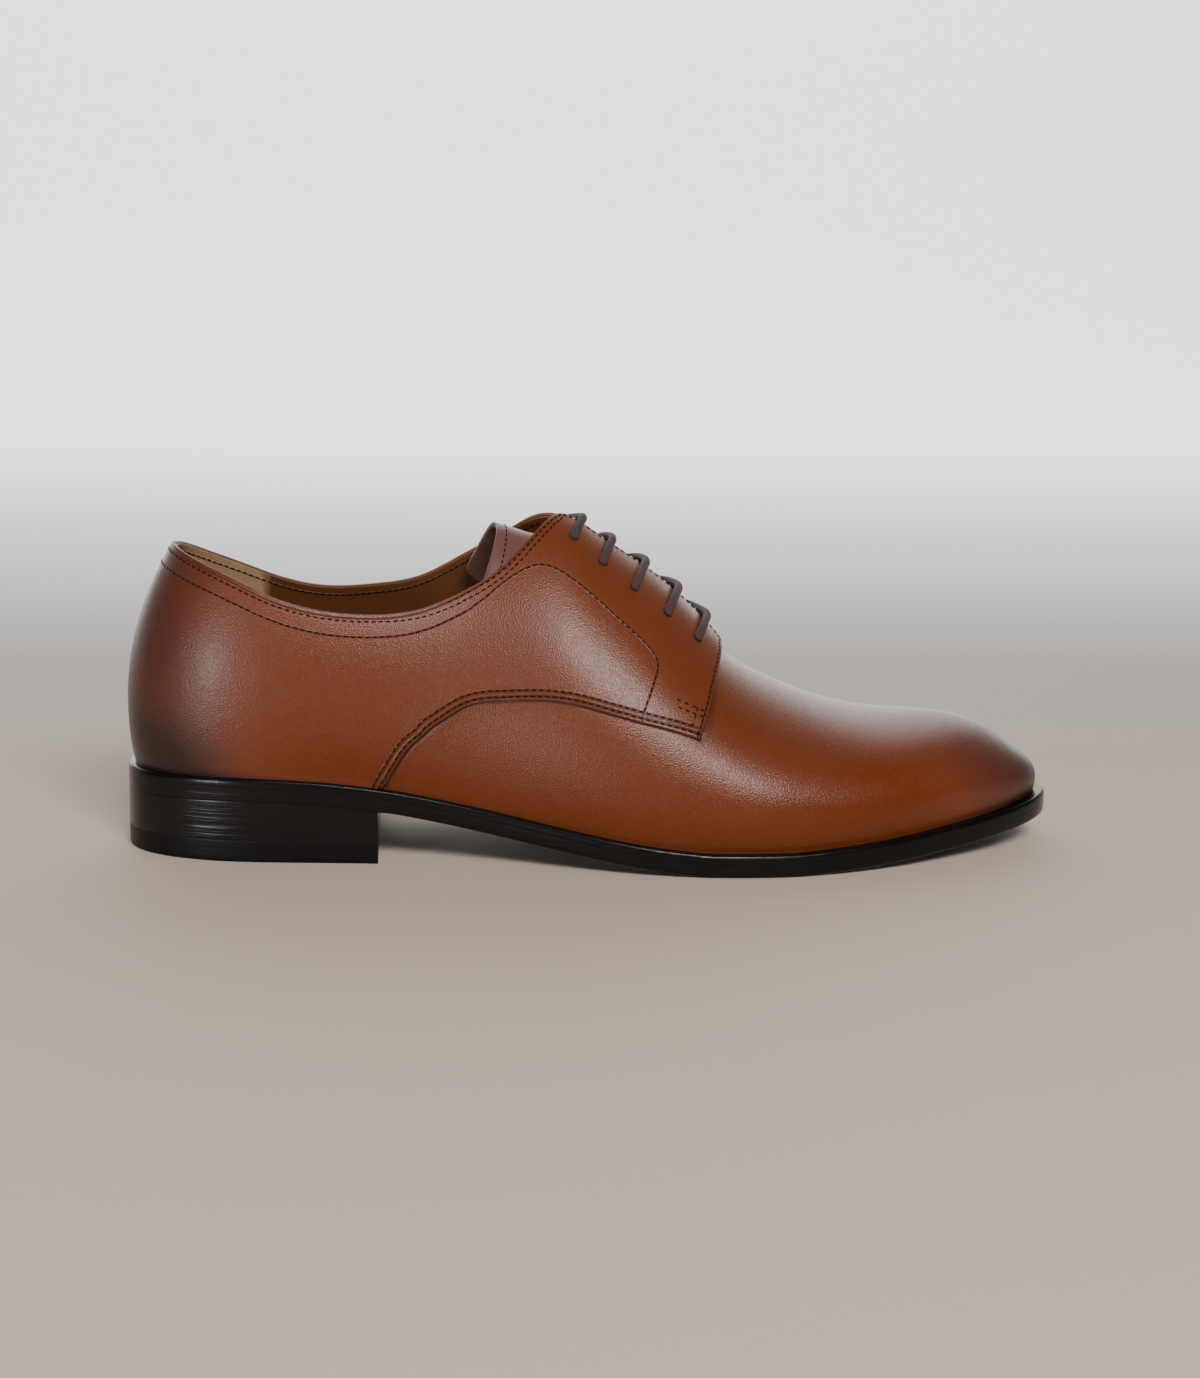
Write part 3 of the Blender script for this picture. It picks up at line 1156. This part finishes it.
# a shallow dark dish with a soft lip, for one eyelet
def addHole(x, side, angle, points, faces):
    centre, out = onQuarter(place(x, side), np.float64(angle))
    over = unit(np.cross(out, [1.0, 0, 0]))
    fore = np.cross(over, out)
    start, count = len(points), laceSizes["holeSides"]
    for radius, high in holeRings:
        for a in np.arange(count) * 2 * np.pi / count:
            ray = np.cos(a) * over + np.sin(a) * fore
            points.append(centre + laceSizes["hole"] * radius * ray + out * high)
    for k in range(len(holeRings) - 1):
        low, high = start + k * count, start + (k + 1) * count
        faces += [(low + j, low + (j + 1) % count, high + (j + 1) % count, high + j) for j in range(count)]
    last = start + (len(holeRings) - 1) * count
    faces.append(tuple(last + j for j in range(count)))
    faces.append(tuple(start + j for j in range(count))[::-1])


holePoints, holeFaces = [], []
for number, row in enumerate(laceTable, 1):
    line, places = smoothLine(cutCorners(laceLine(row), 3), laceSizes["along"])
    bar = tube(f"lace_{number}", line, places, laceSizes["diameter"] / 2, laceSizes["around"], lacePaint)
    settle(bar, "lace_cotton", f"lace_bar_{number}")
    for side, x in ((0, row[0]), (1, row[2])):
        addHole(x, side, row[3], holePoints, holeFaces)
holes = makeObject("punched_eyelets", holePoints, holeFaces, [holeDark])
turnOutwards(holes)
settle(holes, "calf")
print("laces and holes")

# stitches: paths on the leather, then a thread laid along them by nodes

stitchSizes = {"pitch": 2.25, "length": 1.66, "width": 0.54, "height": 0.40, "proud": 0.05}
# how far each row lies from its edge, and where it starts and stops
rowSizes = {"collarBack": 2.4, "collarSide": 3.0, "collarEnd": 139, "facing": 1.3, "facingStart": 101,
            "facingEnd": 196, "foot": (1.3, 3.3), "front": 1.4, "frontLow": 25.5, "frontUnderTop": 4.5,
            "barBehind": 3.5, "barLow": 27.2, "barHigh": 33.4, "liningBelow": 2.6, "liningEnd": 136,
            "tongueBelow": 3.2}
# start and end of each short row at the facing's corner: x, angle
barRows = ((173.9, 32.4, 181.3, 34.0), (174.3, 30.3, 181.0, 31.8))
stitchPaths = []


# a row below the collar's and facings' edge, on one side or, with none, round the back
def alongRim(below, start, stop, side):
    s = np.where(stripSide == 1, rimS - 2, rimS)
    order = np.argsort(s)
    s, angle = s[order], rimAngle[order]
    depth = below(np.abs(s)) if callable(below) else below
    s, angle = besidePath(s, angle, -depth)
    x = distanceOf(np.mod(s, 2))
    keep = (x >= start) & (x <= stop)
    keep &= (s <= 0) if side == 1 else (s >= 0) if side == 0 else True
    return s[keep], angle[keep]


def addRow(s, angle):
    stitchPaths.append(onQuarter(np.asarray(s), np.asarray(angle), stitchSizes["proud"]))


def collarRow(s):
    farther = rowSizes["collarSide"] - rowSizes["collarBack"]
    return rowSizes["collarBack"] + farther * soft((distanceOf(s) - 78) / 26)


addRow(*alongRim(collarRow, 0, rowSizes["collarEnd"], None))
for side in (0, 1):
    addRow(*alongRim(rowSizes["facing"], rowSizes["facingStart"], rowSizes["facingEnd"], side))
    path = bandPaths[side]
    addRow(place(path[:, 0], side), path[:, 1])
    sign = 1 if side == 0 else -1
    for off in rowSizes["foot"]:
        s, angle = footPath(side)
        besideS, besideAngle = besidePath(s, angle, sign * off)
        keep = distanceOf(besideS) < (shoe["corner"] - off + 0.4)
        addRow(besideS[keep], besideAngle[keep])
    s, angle = frontPath(side)
    besideS, besideAngle = besidePath(s, angle, sign * rowSizes["front"])
    keep = besideAngle < facingEdge(189.0, side) - rowSizes["frontUnderTop"]
    keep &= besideAngle > rowSizes["frontLow"]
    addRow(besideS[keep], besideAngle[keep])
    # the facing's corner is barred: up beside the front row, back along two short rows
    keep = (angle > rowSizes["barLow"]) & (angle < rowSizes["barHigh"])
    addRow(place(distanceOf(s[keep]) - rowSizes["barBehind"], side), angle[keep])
    for startX, startAngle, endX, endAngle in barRows:
        addRow(place(np.linspace(startX, endX, 12), side), np.linspace(startAngle, endAngle, 12))


def makeStitchTree():
    tree = bpy.data.node_groups.new("thread along paths", "GeometryNodeTree")
    tree.interface.new_socket(name="Geometry", in_out="INPUT", socket_type="NodeSocketGeometry")
    for key in ("Pitch", "Length", "Width", "Height"):
        tree.interface.new_socket(name=key, in_out="INPUT", socket_type="NodeSocketFloat")
    tree.interface.new_socket(name="Thread", in_out="INPUT", socket_type="NodeSocketMaterial")
    tree.interface.new_socket(name="Geometry", in_out="OUTPUT", socket_type="NodeSocketGeometry")
    given, result = tree.nodes.new("NodeGroupInput").outputs, tree.nodes.new("NodeGroupOutput").inputs
    curve = put(tree, "GeometryNodeMeshToCurve", {"Mesh": given["Geometry"]})
    even = put(tree, "GeometryNodeResampleCurve", {"Curve": curve.outputs[0], "Length": given["Pitch"]},
               mode="LENGTH")
    bead = put(tree, "GeometryNodeMeshUVSphere", {"Segments": 7, "Rings": 6, "Radius": 0.5})
    out = put(tree, "GeometryNodeInputNamedAttribute", {"Name": "faceOut"}, data_type="FLOAT_VECTOR")
    way = tree.nodes.new("GeometryNodeInputTangent").outputs[0]
    first = put(tree, "FunctionNodeAlignRotationToVector", {"Vector": way}, axis="X")
    second = put(tree, "FunctionNodeAlignRotationToVector",
                 {"Rotation": first.outputs[0], "Vector": out.outputs["Attribute"]}, axis="Z", pivot_axis="X")
    size = put(tree, "ShaderNodeCombineXYZ", {0: given["Length"], 1: given["Width"], 2: given["Height"]})
    laid = put(tree, "GeometryNodeInstanceOnPoints",
               {"Points": even.outputs[0], "Instance": bead.outputs[0], "Rotation": second.outputs[0],
                "Scale": size.outputs[0]})
    real = put(tree, "GeometryNodeRealizeInstances", {"Geometry": laid.outputs[0]})
    shaded = put(tree, "GeometryNodeSetShadeSmooth", {"Geometry": real.outputs[0]})
    painted = put(tree, "GeometryNodeSetMaterial",
                  {"Geometry": shaded.outputs[0], "Material": given["Thread"]})
    tree.links.new(painted.outputs[0], result["Geometry"])
    return tree


stitchTree = makeStitchTree()


def sewRows(name, paths, sizes, paint):
    points, outs, edges, count = [], [], [], 0
    for line, out in paths:
        points.append(toRow(line))
        outs.append(out)
        edges += [(count + i, count + i + 1) for i in range(len(line) - 1)]
        count += len(line)
    mesh = bpy.data.meshes.new(name)
    mesh.from_pydata(np.concatenate(points).tolist(), edges, [])
    faceOut = mesh.attributes.new("faceOut", "FLOAT_VECTOR", "POINT")
    faceOut.data.foreach_set("vector", np.concatenate(outs).astype(np.float32).ravel())
    made = bpy.data.objects.new(name, mesh)
    bpy.context.scene.collection.objects.link(made)
    sew = made.modifiers.new("sew", "NODES")
    sew.node_group = stitchTree
    for item in stitchTree.interface.items_tree:
        if item.in_out == "INPUT" and item.name in ("Pitch", "Length", "Width", "Height"):
            sew[item.identifier] = sizes[item.name.lower()] * 0.001
        elif item.in_out == "INPUT" and item.name == "Thread":
            sew[item.identifier] = paint
    shape = bpy.context.evaluated_depsgraph_get()
    result = bpy.data.meshes.new_from_object(made.evaluated_get(shape), depsgraph=shape)
    made.modifiers.remove(sew)
    made.data = result
    if not result.materials:
        result.materials.append(paint)
    return made


stitches = sewRows("upper_stitches", stitchPaths, stitchSizes, threadPaint)
settle(stitches, "calf")
print("stitches", len(stitches.data.polygons))

innerPaths = []
rimAngleIn = anglesAt((liningTop - rowSizes["liningBelow"])[:, None], liningLength, liningAngle)[:, 0]
deepRim = shoe["wall"] - shoe["quarterStep"] + stitchSizes["proud"]
keep = liningBase < rowSizes["liningEnd"]
point, out = last(place(leaning(liningBase, rimAngleIn), liningSide), rimAngleIn)
point = point - out * deepRim
innerPaths.append((point[keep], -out[keep]))
tongueOut = unit(tongueSkin - tongueBack)
fromTop = tongueX[:, tongueX.shape[1] // 2] - begin.max()
row = int(np.argmin(np.abs(fromTop - rowSizes["tongueBelow"])))
innerPaths.append((tongueSkin[row] + tongueOut[row] * stitchSizes["proud"], tongueOut[row]))
liningStitches = sewRows("inner_stitches", innerPaths, stitchSizes, threadPaint)
settle(liningStitches, "calf")

# floor, light and camera

stageSizes = {"front": -6.0, "wallAt": 2.4, "cove": 0.8, "top": 4.0, "half": 7.0, "warmFrom": 0.05,
              "warmTo": 0.55, "glowFrom": 0.35, "glowTo": 1.7, "glow": 1.85, "glowLeft": 0.25, "glowRight": 0.1}
bend = np.radians(np.linspace(0, 90, 17))
coveY = stageSizes["wallAt"] - stageSizes["cove"] * (1 - np.sin(bend))
coveZ = stageSizes["cove"] * (1 - np.cos(bend))
profile = [(stageSizes["front"], 0.0)] + list(zip(coveY, coveZ)) + [(stageSizes["wallAt"], stageSizes["top"])]
floorPoints = [(w, y, z) for y, z in profile for w in (-stageSizes["half"], stageSizes["half"])]
floorFaces = [(2 * i, 2 * i + 1, 2 * i + 3, 2 * i + 2) for i in range(len(profile) - 1)]
floorMesh = bpy.data.meshes.new("floor")
floorMesh.from_pydata(floorPoints, [], floorFaces)
floorMesh.polygons.foreach_set("use_smooth", np.ones(len(floorMesh.polygons), bool))
floor = bpy.data.objects.new("floor", floorMesh)
bpy.context.scene.collection.objects.link(floor)
floorPaint, tree, shader, where = startMaterial("pale floor", 0.7, 0.2)


# a number that goes from low to high between two places
def fade(tree, value, start, stop, low, high):
    given = {"Value": value, "From Min": start, "From Max": stop, "To Min": low, "To Max": high}
    return put(tree, "ShaderNodeMapRange", given).outputs[0]


# the wall behind glows a little, as if it had lamps of its own
shader.inputs["Emission Color"].default_value = (1.0, 0.99, 0.98, 1)
depth = put(tree, "ShaderNodeSeparateXYZ", {"Vector": where}).outputs["Y"]
away = fade(tree, depth, stageSizes["warmFrom"], stageSizes["warmTo"], 0.0, 1.0)
floorColour = blendColour(tree, away, (0.58, 0.49, 0.40), (0.56, 0.555, 0.55))
tree.links.new(floorColour, shader.inputs["Base Color"])
glow = fade(tree, depth, stageSizes["glowFrom"], stageSizes["glowTo"], 0.0, stageSizes["glow"])
aside = put(tree, "ShaderNodeSeparateXYZ", {"Vector": where}).outputs["X"]
right = fade(tree, aside, 1.0, 1.9, 1.0, stageSizes["glowRight"])
left = fade(tree, aside, -1.9, -1.0, stageSizes["glowLeft"], 1.0)
tree.links.new(calc(tree, "MULTIPLY", glow, calc(tree, "MULTIPLY", left, right)), shader.inputs["Emission Strength"])
floorMesh.materials.append(floorPaint)

# spot, target, size, power, colour
lights = {
    "high front": ((0.38, -1.85, 1.49), (0.03, 0.0, 0.05), (1.05, 0.62), 60.0, (1.0, 0.95, 0.945)),
    "left window": ((-1.28, -1.53, 0.16), (-0.08, 0.0, 0.05), (0.42, 0.30), 14.0, (0.93, 0.965, 1.0)),
}


def aimAt(spot, target):
    away = unit(np.array(spot, float) - np.array(target, float))
    side = unit(np.cross([0, 0, 1.0], away)) if abs(away[2]) < 0.999 else np.array([1.0, 0, 0])
    up = np.cross(away, side)
    return Matrix([[side[i], up[i], away[i], spot[i]] for i in range(3)] + [[0, 0, 0, 1]])


for name, (spot, target, size, power, colour) in lights.items():
    lamp = bpy.data.lights.new(name, "AREA")
    lamp.shape = "RECTANGLE"
    lamp.size, lamp.size_y = size
    lamp.energy = power
    lamp.color = colour
    holder = bpy.data.objects.new(name, lamp)
    holder.matrix_world = aimAt(spot, target)
    bpy.context.scene.collection.objects.link(holder)

world = bpy.data.worlds.new("studio")
world.use_nodes = True
world.node_tree.nodes["Background"].inputs["Color"].default_value = (0.06, 0.06, 0.063, 1)
world.node_tree.nodes["Background"].inputs["Strength"].default_value = 1.0
bpy.context.scene.world = world

# the photo's view: turned a little to the toe side, from just above the collar
photo = {"turn": 5.0, "pitch": 10.5, "roll": 1.0, "focal": 2244.0, "at": (131.2, 837.1),
         "middle": (600.0, 689.0), "distance": 736.0, "tall": 1378.0, "sensor": 36.0}
turn, pitch, roll = (np.radians(photo[k]) for k in ("turn", "pitch", "roll"))
right = np.array([np.cos(turn), -np.sin(turn), 0])
ahead = np.array([np.sin(turn), np.cos(turn), 0])
forward = ahead * np.cos(pitch) + np.array([0, 0, -np.sin(pitch)])
upward = ahead * np.sin(pitch) + np.array([0, 0, np.cos(pitch)])
right, upward = right * np.cos(roll) + upward * np.sin(roll), upward * np.cos(roll) - right * np.sin(roll)
offX = (photo["at"][0] - photo["middle"][0]) / photo["focal"] * photo["distance"]
offY = -(photo["at"][1] - photo["middle"][1]) / photo["focal"] * photo["distance"]
spot = toRow(-(right * offX + upward * offY + forward * photo["distance"]))
lens = bpy.data.cameras.new("photo view")
lens.sensor_width = photo["sensor"]
lens.lens = photo["focal"] / photo["tall"] * photo["sensor"]
lens.clip_start, lens.clip_end = 0.02, 50.0
camera = bpy.data.objects.new("photo view", lens)
camera.matrix_world = Matrix([[right[i], upward[i], -forward[i], spot[i]] for i in range(3)] + [[0, 0, 0, 1]])
bpy.context.scene.collection.objects.link(camera)
bpy.context.scene.camera = camera

print("sizes written")
